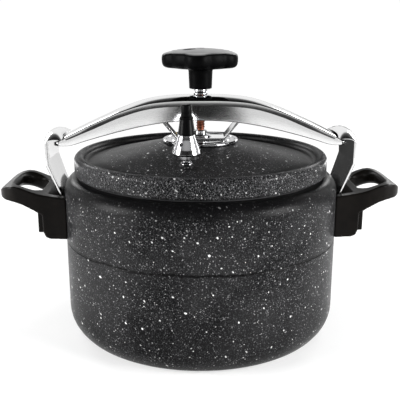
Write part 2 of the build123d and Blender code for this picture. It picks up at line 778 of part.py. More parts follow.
# V clip: strip around the bushing, with two arms rising to rolled eyes
ARM_TOP_X = PIN_X - 2.0
ARM_TOP_Z = PIN_Z - EYE_R + 0.6
with BuildPart() as v_clip:
    with BuildSketch(Plane.XZ):
        with BuildLine():
            Polyline(
                (-CLIP_FLAT_X, CLIP_Z),
                (CLIP_FLAT_X, CLIP_Z),
                (ARM_TOP_X + 2.2, ARM_TOP_Z),
                (ARM_TOP_X + 0.6, ARM_TOP_Z + 1.5),
                (CLIP_FLAT_X - 0.7, CLIP_Z + CLIP_T),
                (0.7 - CLIP_FLAT_X, CLIP_Z + CLIP_T),
                (-ARM_TOP_X - 0.6, ARM_TOP_Z + 1.5),
                (-ARM_TOP_X - 2.2, ARM_TOP_Z),
                (-CLIP_FLAT_X, CLIP_Z),
            )
        make_face()
    extrude(amount=CLIP_HALF_W, both=True)
    with Locations((0, 0, CLIP_Z - 1)):
        Cylinder(
            BUSH_R + 0.05,
            5,
            align=(Align.CENTER, Align.CENTER, Align.MIN),
            mode=Mode.SUBTRACT,
        )
    for pin_x in (-PIN_X, PIN_X):
        with Locations(Location((pin_x, 0, PIN_Z), (90, 0, 0))):
            Cylinder(EYE_R, 2 * CLIP_HALF_W)
            Cylinder(PIN_R + 0.1, 2 * CLIP_HALF_W + 4, mode=Mode.SUBTRACT)
save(v_clip.part, "v_clip")

# Clip pins: shanks through both flanges with small round heads outside
with BuildPart() as clip_pins:
    for pin_x in (-PIN_X, PIN_X):
        with Locations(Location((pin_x, 0, PIN_Z), (90, 0, 0))):
            Cylinder(PIN_R, 2 * BAR_HALF_W + 0.4)
        for head_side in (-1, 1):
            head_y = head_side * (BAR_HALF_W + 0.1 + 0.55)
            with Locations(Location((pin_x, head_y, PIN_Z), (90, 0, 0))):
                Cylinder(PIN_HEAD_R, 1.1)
save(clip_pins.part, "clip_pins")

# Thrust foot: pressed on the bushing's flange, with a socket for the screw tip
with BuildPart() as thrust_foot:
    with Locations((0, 0, FOOT_BOTTOM_Z)):
        Cylinder(FOOT_R, FOOT_TOP_Z - FOOT_BOTTOM_Z, align=(Align.CENTER, Align.CENTER, Align.MIN))
    chamfer(thrust_foot.edges().filter_by(GeomType.CIRCLE), 0.5)
    with Locations((0, 0, SCREW_TIP_Z - 0.1)):
        Cylinder(
            TIP_BORE_R,
            10,
            align=(Align.CENTER, Align.CENTER, Align.MIN),
            mode=Mode.SUBTRACT,
        )
save(thrust_foot.part, "thrust_foot")

# Clamp screw: grooved shank with a slim tip that turns in the foot
screw_points = [(0, SCREW_TIP_Z), (SCREW_TIP_R, SCREW_TIP_Z), (SCREW_TIP_R, FOOT_TOP_Z + 0.1)]
groove_z = FOOT_TOP_Z + 0.1
screw_points.append((SCREW_R - THREAD_DEPTH, groove_z))
while groove_z + THREAD_PITCH < STEM_BOTTOM_Z - 6:
    screw_points.append((SCREW_R, groove_z + THREAD_PITCH * 0.35))
    screw_points.append((SCREW_R, groove_z + THREAD_PITCH * 0.65))
    screw_points.append((SCREW_R - THREAD_DEPTH, groove_z + THREAD_PITCH))
    groove_z = groove_z + THREAD_PITCH
screw_points.append((SCREW_R, groove_z + THREAD_DEPTH))
screw_points.append((SCREW_R, SCREW_TOP_Z))
screw_points.append((0, SCREW_TOP_Z))
save(turned(screw_points, 0, 0), "clamp_screw")

# Knob insert: bright collar above the bar, with a spigot inside the knob's stem
insert_points = [
    (SCREW_R + 0.05, INSERT_BOTTOM_Z),
    (INSERT_R - 0.5, INSERT_BOTTOM_Z),
    (INSERT_R, INSERT_BOTTOM_Z + 0.5),
    (INSERT_R, STEM_BOTTOM_Z - 0.05),
    (INSERT_STEM_R, STEM_BOTTOM_Z - 0.05),
    (INSERT_STEM_R, SCREW_TOP_Z - 1.0),
    (SCREW_R + 0.05, SCREW_TOP_Z - 1.0),
]
save(turned(insert_points, 0, 0), "knob_insert")

# Knob: five-lobed head with a domed top on a slightly tapered stem
with BuildPart() as knob_lobes:
    with BuildSketch(Plane.XY.offset(HEAD_BOTTOM_Z - 2)) as lobes:
        Circle(HEAD_R - 4.6)
        with PolarLocations(HEAD_R - LOBE_R, LOBE_COUNT, start_angle=LOBE_START):
            Circle(LOBE_R)
        fillet(lobes.vertices(), 6)
    extrude(amount=HEAD_TOP_Z - HEAD_BOTTOM_Z + 4)

with BuildPart() as knob_dome:
    with BuildSketch(Plane.XZ):
        with BuildLine():
            Polyline(
                (0, HEAD_BOTTOM_Z - 1.4),
                (16.0, HEAD_BOTTOM_Z - 1.4),
                (31.0, HEAD_BOTTOM_Z),
                (34.6, HEAD_BOTTOM_Z + 1.6),
                (HEAD_R + 0.1, HEAD_BOTTOM_Z + 4.6),
                (HEAD_R - 0.4, HEAD_EDGE_Z - 2.2),
                (HEAD_R - 1.6, HEAD_EDGE_Z - 0.4),
                (HEAD_R - 3.6, HEAD_EDGE_Z + 0.4),
            )
            Spline(
                (HEAD_R - 3.6, HEAD_EDGE_Z + 0.4),
                (17.0, 265.8),
                (0, HEAD_TOP_Z),
                tangents=[(-1, 0.3), (-1, 0)],
            )
            Line((0, HEAD_TOP_Z), (0, HEAD_BOTTOM_Z - 1.4))
        make_face()
    revolve(axis=Axis.Z)

with BuildPart() as knob:
    add(knob_lobes.part & knob_dome.part)
    with Locations((0, 0, STEM_BOTTOM_Z)):
        Cone(
            STEM_R_LOW,
            STEM_R_TOP,
            HEAD_BOTTOM_Z + 1 - STEM_BOTTOM_Z,
            align=(Align.CENTER, Align.CENTER, Align.MIN),
        )
    with Locations((0, 0, STEM_BOTTOM_Z - 1)):
        Cylinder(
            INSERT_STEM_R + 0.05,
            SCREW_TOP_Z - STEM_BOTTOM_Z + 1.5,
            align=(Align.CENTER, Align.CENTER, Align.MIN),
            mode=Mode.SUBTRACT,
        )
save(knob.part, "knob")
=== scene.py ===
import json
import math

import bmesh
import bpy
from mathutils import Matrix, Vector

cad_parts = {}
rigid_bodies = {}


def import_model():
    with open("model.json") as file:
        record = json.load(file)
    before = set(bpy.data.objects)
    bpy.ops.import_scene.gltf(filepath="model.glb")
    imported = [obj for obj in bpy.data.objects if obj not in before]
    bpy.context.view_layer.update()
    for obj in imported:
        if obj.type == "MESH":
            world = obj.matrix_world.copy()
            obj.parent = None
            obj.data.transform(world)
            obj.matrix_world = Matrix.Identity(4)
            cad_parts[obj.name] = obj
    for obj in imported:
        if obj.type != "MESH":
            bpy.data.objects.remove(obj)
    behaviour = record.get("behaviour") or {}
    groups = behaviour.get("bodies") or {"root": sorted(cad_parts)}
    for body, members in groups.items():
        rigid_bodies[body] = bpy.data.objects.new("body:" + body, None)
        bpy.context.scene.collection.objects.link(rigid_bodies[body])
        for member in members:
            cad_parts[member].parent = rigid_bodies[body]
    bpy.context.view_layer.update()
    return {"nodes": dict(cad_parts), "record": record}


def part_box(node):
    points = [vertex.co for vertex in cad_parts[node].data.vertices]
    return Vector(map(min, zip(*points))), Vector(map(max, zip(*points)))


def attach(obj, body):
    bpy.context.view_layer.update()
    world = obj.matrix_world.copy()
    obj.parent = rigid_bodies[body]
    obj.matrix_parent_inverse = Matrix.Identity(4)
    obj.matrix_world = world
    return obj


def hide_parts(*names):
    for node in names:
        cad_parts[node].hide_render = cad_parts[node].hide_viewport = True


for leftover in list(bpy.data.objects):
    bpy.data.objects.remove(leftover)
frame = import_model()
nodes = frame["nodes"]
body_of_node = {n: b for b, group in frame["record"]["behaviour"]["bodies"].items() for n in group}
slot_of_node = {s["node"]: s["material_slot"] for s in frame["record"]["subparts"]}

MM = 0.001


# ---------------------------------------------------------------- places from the frame


def middle(node):
    """The centre of a CAD node's box."""
    low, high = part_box(node)
    return (low + high) / 2


def foot_of(node):
    """A CAD node's lowest height, in millimetres."""
    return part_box(node)[0].z / MM


def top_of(node):
    """A CAD node's highest height, in millimetres."""
    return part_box(node)[1].z / MM


# These are in metres, as the frame is.
POT_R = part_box("pot_body")[1].x
LID_EDGE_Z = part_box("lid_rim")[0].z
LID_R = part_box("lid_rim")[1].x
VENT = middle("vent_pipe")
VALVE = middle("valve_body")
BAR_END_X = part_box("clamp_bar")[1].x
CLIP_LOW_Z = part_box("v_clip")[0].z
STIRRUP_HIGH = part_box("stirrup_right")[1]

SEAM_Z = 0.0915
# Painted shade: a painted shadow on the pot's shoulder within SHOULDER_BAND, and painted shade in the lid's
# valley between VALLEY_START and VALLEY_END.
SHOULDER_BAND = (LID_EDGE_Z - 0.022, LID_EDGE_Z - 0.004)
VALLEY_START = (LID_R - 0.0265, LID_R - 0.0215)
BEAD_START = (LID_R - 0.017, LID_R - 0.013)
VALLEY_END = (LID_R - 0.0085, LID_R - 0.0065)


# ---------------------------------------------------------------- node helpers


class NodeTree:
    """Short calls for adding nodes to a tree and linking them."""

    def __init__(self, tree):
        self.tree = tree

    def add(self, kind, **settings):
        node = self.tree.nodes.new(kind)
        for key, value in settings.items():
            setattr(node, key, value)
        return node

    def link(self, source, target):
        self.tree.links.new(source, target)

    def fill(self, socket, value):
        """A number or colour goes onto the socket itself, and another node's output is linked to it."""
        if isinstance(value, (int, float)):
            socket.default_value = value
        elif isinstance(value, tuple):
            socket.default_value = (*value, 1)
        else:
            self.link(value, socket)

    def math(self, operation, *values):
        node = self.add("ShaderNodeMath", operation=operation)
        for socket, value in zip(node.inputs, values):
            self.fill(socket, value)
        return node.outputs["Value"]

    def split(self, source):
        """The X, Y and Z of a vector."""
        node = self.add("ShaderNodeSeparateXYZ")
        self.link(source, node.inputs["Vector"])
        return node.outputs["X"], node.outputs["Y"], node.outputs["Z"]

    def blend(self, amount, first, second):
        """The first colour where the amount is 0, and the second where it is 1."""
        node = self.add("ShaderNodeMix", data_type="RGBA")
        self.link(amount, node.inputs["Factor"])
        self.fill(node.inputs["A"], first)
        self.fill(node.inputs["B"], second)
        return node.outputs["Result"]


class Shader(NodeTree):
    """A material with one Principled shader."""

    def __init__(self, name, color, metallic=0.0, roughness=0.5, specular=0.5):
        self.material = bpy.data.materials.new(name)
        self.material.use_nodes = True
        super().__init__(self.material.node_tree)
        self.out = self.tree.nodes["Principled BSDF"]
        self.out.inputs["Base Color"].default_value = (*color, 1)
        self.out.inputs["Metallic"].default_value = metallic
        self.out.inputs["Roughness"].default_value = roughness
        self.out.inputs["Specular IOR Level"].default_value = specular
        self.where = self.add("ShaderNodeTexCoord").outputs["Object"]

    def stretch(self, x, y, z, source=None):
        node = self.add("ShaderNodeMapping")
        node.inputs["Scale"].default_value = (x, y, z)
        self.link(source or self.where, node.inputs["Vector"])
        return node.outputs["Vector"]

    def noise(self, scale, detail=2.0, rough=0.5, vector=None, distort=0.0, output="Fac"):
        node = self.add("ShaderNodeTexNoise")
        settings = (("Scale", scale), ("Detail", detail), ("Roughness", rough), ("Distortion", distort))
        for key, value in settings:
            node.inputs[key].default_value = value
        self.link(vector or self.where, node.inputs["Vector"])
        return node.outputs[output]

    def remap(self, source, low, high, to_low=0.0, to_high=1.0, smooth=False):
        """The source's stretch from low to high, spread from to_low to to_high and held there beyond it."""
        node = self.add("ShaderNodeMapRange")
        if smooth:
            node.interpolation_type = "SMOOTHSTEP"
        settings = (("From Min", low), ("From Max", high), ("To Min", to_low), ("To Max", to_high))
        for key, value in settings:
            node.inputs[key].default_value = value
        self.link(source, node.inputs["Value"])
        return node.outputs["Result"]

    def bump(self, height, strength, distance, after=None):
        node = self.add("ShaderNodeBump")
        node.inputs["Strength"].default_value = strength
        node.inputs["Distance"].default_value = distance
        self.link(height, node.inputs["Height"])
        if after is not None:
            self.link(after, node.inputs["Normal"])
        self.link(node.outputs["Normal"], self.out.inputs["Normal"])
        return node.outputs["Normal"]

    def color(self, source):
        self.link(source, self.out.inputs["Base Color"])

    def roughness(self, source):
        self.link(source, self.out.inputs["Roughness"])

    def from_axis(self, x, y):
        """The distance from the Z axis."""
        x_square = self.math("POWER", self.math("ABSOLUTE", x), 2)
        y_square = self.math("POWER", self.math("ABSOLUTE", y), 2)
        return self.math("POWER", self.math("ADD", x_square, y_square), 0.5)

    def specks(self, scale, size, share, vector):
        """Round flecks of varied size: a mask and each fleck's own random value."""
        smallest, edge_start, edge_end = 0.45, 0.75, 1.1
        cells = self.add("ShaderNodeTexVoronoi")
        cells.inputs["Scale"].default_value = scale
        self.link(vector, cells.inputs["Vector"])
        chance = self.add("ShaderNodeSeparateColor")
        self.link(cells.outputs["Color"], chance.inputs["Color"])
        kept = self.math("LESS_THAN", chance.outputs["Red"], share)
        radius = self.remap(chance.outputs["Green"], 0, 1, size * smallest, size)
        edge = self.math("DIVIDE", cells.outputs["Distance"], radius)
        dot = self.remap(edge, edge_start, edge_end, 1.0, 0.0, smooth=True)
        return self.math("MULTIPLY", dot, kept), chance.outputs["Blue"]


# ---------------------------------------------------------------- materials


def speck_places(s):
    """Coordinates for the specks, turned and wobbled so that no grid shows along the axes."""
    turned_grid = s.add("ShaderNodeMapping")
    turned_grid.inputs["Rotation"].default_value = (0.61, 0.47, 1.13)
    s.link(s.where, turned_grid.inputs["Vector"])
    vector = turned_grid.outputs["Vector"]
    for scale, reach in ((42, 0.007), (420, 0.0012)):
        shift = s.add("ShaderNodeVectorMath", operation="MULTIPLY_ADD")
        shift.inputs[1].default_value = (reach, reach, reach)
        s.link(s.noise(scale, 2, 0.6, output="Color"), shift.inputs[0])
        s.link(vector, shift.inputs[2])
        vector = shift.outputs["Vector"]
    return vector


def seam_mask(s, height):
    """A thin wandering line round the pot, faint in places."""
    reach, half, soft_edge = 0.006, 0.0004, 0.0019
    wander = s.math("MULTIPLY", s.noise(22, 3, 0.6), reach)
    off = s.math("SUBTRACT", s.math("ADD", height, wander), SEAM_Z + reach / 2)
    line = s.remap(s.math("ABSOLUTE", off), half, soft_edge, 1.0, 0.0, smooth=True)
    return s.math("MULTIPLY", line, s.remap(s.noise(260, 2, 0.6), 0.4, 0.62, 1.0, 0.6))


def painted_shade_mask(s, height, radius, on_lid):
    """Painted shade on the coating: a painted shadow on the shoulder under the lid's edge, a dark ring of
    painted shade in the lid's valley, and darker toward the foot.
    """
    edge = 0.0005
    painted_shoulder_shadow = s.remap(height, *SHOULDER_BAND, 0.0, 0.9, smooth=True)
    below_lid = s.remap(height, LID_EDGE_Z - edge, LID_EDGE_Z + edge, 1.0, 0.0)
    valley = s.math("MULTIPLY", on_lid, s.remap(radius, *VALLEY_START, smooth=True))
    valley = s.math("MULTIPLY", valley, s.remap(radius, *VALLEY_END, 0.9, 0.0))
    shade = s.math("MAXIMUM", s.math("MULTIPLY", painted_shoulder_shadow, below_lid), valley)
    return s.math("MAXIMUM", shade, s.remap(height, 0.0, 0.06, 0.55, 0.0))


def granite_coating():
    """A near-black coating with pale specks in three sizes, on the pot and the lid, with painted shade under
    the lid's edge and in the lid's valley.
    """
    s = Shader("granite_coating", (0.012, 0.012, 0.013), 0.0, 0.32, 0.06)
    places = speck_places(s)
    x, y, height = s.split(s.where)
    radius = s.from_axis(x, y)
    on_lid = s.remap(height, LID_EDGE_Z, LID_EDGE_Z + 0.003)
    on_bead = s.math("MULTIPLY", on_lid, s.remap(radius, *BEAD_START))
    at_foot = s.remap(height, 0.008, 0.03, 0.5, 0.0)
    dense = s.math("MAXIMUM", on_bead, at_foot)

    cloud = s.remap(s.noise(16, 3, 0.55), 0.4, 0.62)
    ground = s.blend(cloud, (0.002, 0.002, 0.0022), (0.015, 0.015, 0.0155))
    grain = s.remap(s.noise(1100, 2, 0.7), 0.5, 0.7, 0.0, 1.0, smooth=True)
    grain_color = s.blend(dense, (0.055, 0.055, 0.057), (0.12, 0.12, 0.124))
    paint = s.blend(grain, ground, grain_color)

    fine, fine_tone = s.specks(800, 0.42, 0.75, places)
    small, small_tone = s.specks(440, 0.3, 0.42, places)
    large, large_tone = s.specks(155, 0.15, 0.9, s.stretch(1, 1, 0.7, places))
    dust = s.blend(s.math("POWER", fine_tone, 3.0), (0.006, 0.006, 0.0063), (0.34, 0.34, 0.35))
    fleck = s.blend(s.math("POWER", small_tone, 2.6), (0.03, 0.03, 0.031), (0.95, 0.95, 0.95))
    flake = s.blend(large_tone, (0.6, 0.6, 0.6), (1.0, 1.0, 1.0))
    drifts = s.remap(s.noise(34, 3, 0.6), 0.38, 0.6, 0.1, 1.0)
    drifts = s.math("MAXIMUM", drifts, s.remap(height, 0.02, 0.07, 0.9, 0.0))
    off_bead = s.remap(dense, 0.5, 1.0, 1.0, 0.4)
    paint = s.blend(fine, paint, dust)
    paint = s.blend(s.math("MULTIPLY", small, drifts), paint, fleck)
    paint = s.blend(s.math("MULTIPLY", large, off_bead), paint, flake)
    paint = s.blend(seam_mask(s, height), paint, (0.001, 0.001, 0.001))
    # Painted shade: the coating is painted near black under the lid's edge and in the lid's valley, and
    # darker toward the foot.
    s.color(s.blend(painted_shade_mask(s, height, radius, on_lid), paint, (0.0025, 0.0025, 0.0027)))

    worn = s.remap(s.noise(60, 4, 0.6), 0.25, 0.75, 0.28, 0.38)
    s.roughness(s.math("SUBTRACT", worn, s.math("MULTIPLY", large, 0.12)))
    peel = s.bump(s.noise(520, 2, 0.5), 0.35, 0.0002)
    s.bump(s.math("ADD", small, large), 0.25, 0.00012, peel)
    return s.material


def polished(name, color, rough, haze):
    """Bright metal with fine polishing hairs and slightly hazy smears."""
    s = Shader(name, color, 1.0, rough, 0.5)
    hairs = s.noise(1.6, 3, 0.7, s.stretch(30, 900, 900))
    cross = s.noise(1.2, 2, 0.6, s.stretch(1100, 1100, 60))
    smear = s.noise(28, 3, 0.6)
    s.color(s.blend(s.remap(smear, 0.3, 0.75), color, tuple(c * 0.94 for c in color)))
    base = s.remap(smear, 0.35, 0.8, rough, rough + haze)
    s.roughness(s.math("ADD", base, s.remap(hairs, 0.45, 0.75, 0.0, haze * 0.6)))
    s.bump(cross, 0.035, 0.00003, s.bump(hairs, 0.05, 0.00004))
    return s.material


def machined(name, color, dark, rough):
    """Turned metal with faint rings and darker stains."""
    s = Shader(name, color, 1.0, rough, 0.5)
    rings = s.noise(1.0, 2, 0.6, s.stretch(80, 80, 1500))
    stain = s.noise(90, 4, 0.6)
    s.color(s.blend(s.remap(stain, 0.35, 0.75), color, dark))
    s.roughness(s.remap(stain, 0.3, 0.8, rough * 0.8, rough * 1.35))
    s.bump(rings, 0.12, 0.00006)
    return s.material


def coppered():
    """The screw's coppered thread, with grime in streaks."""
    s = Shader("copper_steel", (0.5, 0.19, 0.11), 1.0, 0.34, 0.5)
    grime = s.noise(500, 4, 0.65)
    streak = s.noise(1.0, 3, 0.6, s.stretch(300, 300, 1400))
    amount = s.math("MULTIPLY", grime, streak)
    s.color(s.blend(s.remap(amount, 0.12, 0.42), (0.42, 0.14, 0.08), (0.1, 0.045, 0.032)))
    s.roughness(s.remap(grime, 0.3, 0.7, 0.26, 0.48))
    s.bump(streak, 0.2, 0.00008)
    return s.material


def moulded(name, color, warm, rough, specular, top=None):
    """Moulded plastic with flow marks and pores. top is the specular level of faces that look up and their
    painted sheen, the lighter grey they are painted.
    """
    s = Shader(name, color, 0.0, rough, specular)
    flow = s.noise(70, 4, 0.6, distort=0.8)
    pores = s.noise(1900, 2, 0.6)
    tone = s.blend(s.remap(flow, 0.3, 0.72), color, warm)
    if top is not None:
        shine, haze = top
        facing = s.split(s.add("ShaderNodeNewGeometry").outputs["True Normal"])
        upward = s.remap(facing[2], 0.72, 0.93, 0.0, 1.0, smooth=True)
        # Painted sheen: faces that look up are painted the lighter grey haze, and their specular level rises
        # to shine.
        tone = s.blend(upward, tone, (haze, haze, haze))
        s.link(s.remap(upward, 0.0, 1.0, specular, shine), s.out.inputs["Specular IOR Level"])
    s.color(tone)
    base = s.remap(flow, 0.25, 0.8, rough * 0.85, rough * 1.25)
    s.roughness(s.math("ADD", base, s.remap(pores, 0.5, 0.8, 0.0, 0.08)))
    s.bump(pores, 0.08, 0.00005, s.bump(s.noise(55, 2, 0.5), 0.18, 0.0005))
    return s.material


def rubbery():
    """Dark rubber with a pale bloom."""
    s = Shader("rubber", (0.05, 0.05, 0.052), 0.0, 0.7, 0.4)
    bloom = s.noise(40, 4, 0.6)
    s.color(s.blend(s.remap(bloom, 0.35, 0.75), (0.04, 0.04, 0.042), (0.085, 0.085, 0.088)))
    s.roughness(s.remap(bloom, 0.3, 0.7, 0.62, 0.8))
    s.bump(s.noise(1300, 2, 0.6), 0.25, 0.00008)
    return s.material


MATERIALS = {
    "granite_coating": granite_coating(),
    "polished_steel": polished("polished_steel", (0.8, 0.8, 0.8), 0.07, 0.06),
    "chrome": polished("chrome", (0.4, 0.4, 0.41), 0.12, 0.05),
    "steel": machined("steel", (0.6, 0.6, 0.61), (0.38, 0.38, 0.39), 0.24),
    "copper_steel": coppered(),
    "bakelite": moulded("bakelite", (0.0028, 0.0024, 0.0021), (0.0064, 0.0052, 0.0042), 0.34, 0.08),
    # The knob's faces that look up get a painted sheen, a light grey, and a higher specular level.
    "knob_bakelite": moulded(
        "knob_bakelite", (0.001, 0.001, 0.0011), (0.0019, 0.0019, 0.002), 0.36, 0.02, top=(0.9, 0.24)),
    "black_plastic": moulded(
        "black_plastic", (0.0012, 0.0012, 0.0014), (0.0022, 0.0022, 0.0024), 0.26, 0.05),
    "brass": machined("brass", (0.72, 0.56, 0.27), (0.45, 0.33, 0.14), 0.26),
    "rubber": rubbery(),
}


# ---------------------------------------------------------------- mesh helpers


def arc(centre, radii, start, end, count):
    """Points along an ellipse, both ends included, with its angles in degrees."""
    points = []
    for k in range(count + 1):
        turn = math.radians(start + (end - start) * k / count)
        points.append(Vector((centre[0] + radii[0] * math.cos(turn), centre[1] + radii[1] * math.sin(turn))))
    return points


def rounded(points, closed=False, steps=6):
    """(a, b, fillet radius) corners of a line as plain points, with each fillet as a short arc."""
    nearly_straight = math.radians(89.5)
    corners = [Vector(p[:2]) for p in points]
    count = len(corners)
    line = []
    for i, corner in enumerate(corners):
        radius = points[i][2] if len(points[i]) > 2 else 0
        at_end = not closed and i in (0, count - 1)
        if not radius or at_end:
            line.append(corner)
            continue
        back = (corners[i - 1] - corner).normalized()
        ahead = (corners[(i + 1) % count] - corner).normalized()
        half = back.angle(ahead) / 2
        if half > nearly_straight:
            line.append(corner)
            continue
        centre = corner + (back + ahead).normalized() * (radius / math.sin(half))
        start = corner + back * (radius / math.tan(half)) - centre
        end = corner + ahead * (radius / math.tan(half)) - centre
        sweep = start.angle(end)
        for k in range(steps + 1):
            t = k / steps
            part = start * math.sin((1 - t) * sweep) + end * math.sin(t * sweep)
            line.append(centre + part / math.sin(sweep))
    return line


def turned_data(corners, steps, at=(0.0, 0.0), closed=False, arcs=4):
    """Vertices and faces of a turned shape, in metres, from (radius, height, fillet) corners in millimetres.

    The shape's axis stands at a place in metres. A closed line's last corner joins its first.
    """
    on_axis = 1e-7
    verts, faces, rings = [], [], []
    for point in rounded(corners, closed, arcs):
        radius, height = max(point.x, 0.0) * MM, point.y * MM
        if radius < on_axis:
            rings.append([len(verts)] * steps)
            verts.append((at[0], at[1], height))
            continue
        rings.append(list(range(len(verts), len(verts) + steps)))
        for k in range(steps):
            turn = math.tau * k / steps
            verts.append((at[0] + radius * math.cos(turn), at[1] + radius * math.sin(turn), height))
    pairs = list(zip(rings, rings[1:]))
    if closed:
        pairs.append((rings[-1], rings[0]))
    for low, high in pairs:
        for k in range(steps):
            m = (k + 1) % steps
            ring = []
            for v in (low[k], low[m], high[m], high[k]):
                if v not in ring:
                    ring.append(v)
            if len(ring) > 2:
                faces.append(ring)
    return verts, faces


def loft_data(rows):
    """Vertices and faces of a capped skin through rows of points, where each row closes on itself."""
    verts = [p for row in rows for p in row]
    width = len(rows[0])
    faces = []
    for i in range(len(rows) - 1):
        for j in range(width):
            k = (j + 1) % width
            faces.append([i * width + j, i * width + k, (i + 1) * width + k, (i + 1) * width + j])
    faces.append(list(range(width)))
    faces.append(list(range(len(verts) - width, len(verts))))
    return verts, faces


def joined(*shapes):
    """Several shapes' vertices and faces as one."""
    verts, faces = [], []
    for more, sides in shapes:
        faces += [[v + len(verts) for v in face] for face in sides]
        verts += more
    return verts, faces


def new_object(name, data):
    obj = bpy.data.objects.new(name, data)
    bpy.context.scene.collection.objects.link(obj)
    return obj


def shade_smooth(mesh):
    mesh.polygons.foreach_set("use_smooth", [True] * len(mesh.polygons))


def finish_mesh(name, shape, sharp=38):
    """An object from vertices and faces. Edges that bend by more than sharp degrees stay hard."""
    mesh = bpy.data.meshes.new(name)
    mesh.from_pydata(shape[0], [], shape[1])
    work = bmesh.new()
    work.from_mesh(mesh)
    bmesh.ops.remove_doubles(work, verts=work.verts, dist=1e-7)
    bmesh.ops.recalc_face_normals(work, faces=work.faces)
    work.to_mesh(mesh)
    work.free()
    shade_smooth(mesh)
    mesh.set_sharp_from_angle(angle=math.radians(sharp))
    return new_object(name, mesh)


def turned(name, corners, at=(0.0, 0.0), steps=96):
    """A turned piece. A line of corners that starts on the axis also ends on it."""
    closed = corners[0][0] > 0
    return finish_mesh(name, turned_data(corners, steps, at, closed, 5))


def cut(obj, tool):
    """Takes the tool's shape out of the object, once its modifiers are applied."""
    hole = obj.modifiers.new("cut", "BOOLEAN")
    hole.operation = "DIFFERENCE"
    hole.solver = "EXACT"
    hole.object = tool


def apply_modifiers(obj):
    shape = bpy.data.meshes.new_from_object(obj.evaluated_get(bpy.context.evaluated_depsgraph_get()))
    obj.modifiers.clear()
    obj.data = shape


def mirror_x(mesh):
    for vertex in mesh.vertices:
        vertex.co.x = -vertex.co.x
    mesh.flip_normals()


def cad_copy(name, node, merge_flats=False):
    """A new object with a CAD node's shape, welded together and without its own normals."""
    mesh = nodes[node].data.copy()
    obj = new_object(name, mesh)
    work = bmesh.new()
    work.from_mesh(mesh)
    bmesh.ops.remove_doubles(work, verts=work.verts, dist=2e-6)
    if merge_flats:
        bmesh.ops.dissolve_limit(work, angle_limit=math.radians(0.6), verts=work.verts, edges=work.edges)
    work.to_mesh(mesh)
    work.free()
    if mesh.has_custom_normals:
        mesh.attributes.remove(mesh.attributes["custom_normal"])
    return obj


def dress(obj, node, *more):
    """The piece rides on the node's body, hides the node and takes its material."""
    names = (node, *more)
    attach(obj, body_of_node[node])
    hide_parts(*names)
    obj.data.materials.clear()
    obj.data.materials.append(MATERIALS[slot_of_node[node]])


def softened(node, width):
    """A CAD solid's shape with its hard edges rolled over, as a new piece."""
    obj = cad_copy("soft_" + node, node, merge_flats=True)
    shade_smooth(obj.data)
    roll = obj.modifiers.new("rolled_edges", "BEVEL")
    roll.width = width * MM
    roll.segments = 3
    roll.limit_method = "ANGLE"
    roll.angle_limit = math.radians(28)
    roll.use_clamp_overlap = True
    roll.harden_normals = True
    dress(obj, node)


# ---------------------------------------------------------------- pot and lid


def make_pot():
    """The turned pot: a foot with two rings, a wall with a fine groove, a rolled shoulder and a lip."""
    pot_r, rim = POT_R / MM, top_of("pot_body")
    roll_out, roll_up = 11.8, 13.0
    wall = pot_r + 0.1
    groove_z = SEAM_Z / MM - 0.3
    foot = [
        (0, 0.5), (60.0, 0.5, 0.3), (60.6, 0.0, 0.3), (92.0, 0.0, 0.3), (92.6, 0.5, 0.3),
        (98.0, 0.5, 0.3), (98.6, 0.0, 0.3), (118.4, 0.0, 10),
    ]
    side = [
        (wall - 0.2, 12.6, 28), (wall, groove_z - 0.6, 0.6), (wall - 0.4, groove_z, 0.4),
        (wall, groove_z + 0.6, 0.6), (wall, 120.0),
    ]
    shoulder = arc((pot_r - roll_out, rim - roll_up), (roll_out, roll_up), 0, 90, 12)
    lip = [(104.4, rim, 0.9), (104.0, rim - 3.0, 1.2)]
    under_shoulder = arc((pot_r - 13.2, rim - 14.4), (9.7, 11.2), 90, 0, 12)
    inside = [(124.9, 16.0, 12), (113.4, 5.0, 9), (0, 5.0)]
    return turned("pot_shell", [*foot, *side, *shoulder, *lip, *under_shoulder, *inside], steps=256)


def boss_data(place):
    """The raised pad that a fitting stands on."""
    edge = LID_EDGE_Z / MM
    radius, low, high = 6.6, edge + 14.2, edge + 20.55
    return turned_data([(0, low), (radius, low, 0.5), (radius, high, 0.5), (0, high)], 48, place)


def make_lid():
    """The turned lid: a shallow cone, a round valley, the rolled bead and a skirt with the gasket groove."""
    lid_r, edge, top = LID_R / MM, LID_EDGE_Z / MM, top_of("lid_shell")
    hole_r, flat_r, thick = 7.3, 38.0, 3.4
    valley_r, bead_r = 3.4, 4.8
    groove_in, groove_out, groove_top, inner_r = 103.6, 116.6, edge + 6.2, 101.4
    cone = [(hole_r, top, 0.4), (flat_r, top, 8)]
    valley = arc((lid_r - 12.88, edge + 15.22), (valley_r, valley_r), -103, -10, 6)
    bead = arc((lid_r - bead_r, edge + 13.8), (bead_r, bead_r), 170, 0, 14)[1:]
    skirt = [
        (lid_r, edge + 2.0, 1.5), (lid_r - 1.4, edge + 0.6, 0.6), (groove_out, edge + 0.6, 0.4),
        (groove_out, groove_top, 0.8), (groove_in, groove_top, 0.8), (groove_in, edge, 0.5),
        (inner_r, edge, 0.5),
    ]
    under = [(inner_r, edge + 9.6, 2.0), (flat_r, top - thick, 6), (hole_r, top - thick, 0.4)]
    dome = turned_data([*cone, *valley, *bead, *skirt, *under], 256, closed=True, arcs=5)
    return finish_mesh("lid_dome", joined(dome, boss_data(VENT), boss_data(VALVE)))


dress(make_pot(), "pot_body", "pot_base")
dress(make_lid(), "lid_shell", "lid_rim")

def raised(node, corners):
    """Corners whose heights were counted from a node's foot, at their place."""
    base = foot_of(node)
    return [(radius, base + height, *fillet) for radius, height, *fillet in corners]


def fit_turned(node, name, corners, at=(0.0, 0.0), steps=96):
    """A turned piece in a node's place, from corners with heights counted from the node's foot."""
    dress(turned(name, raised(node, corners), at, steps), node)


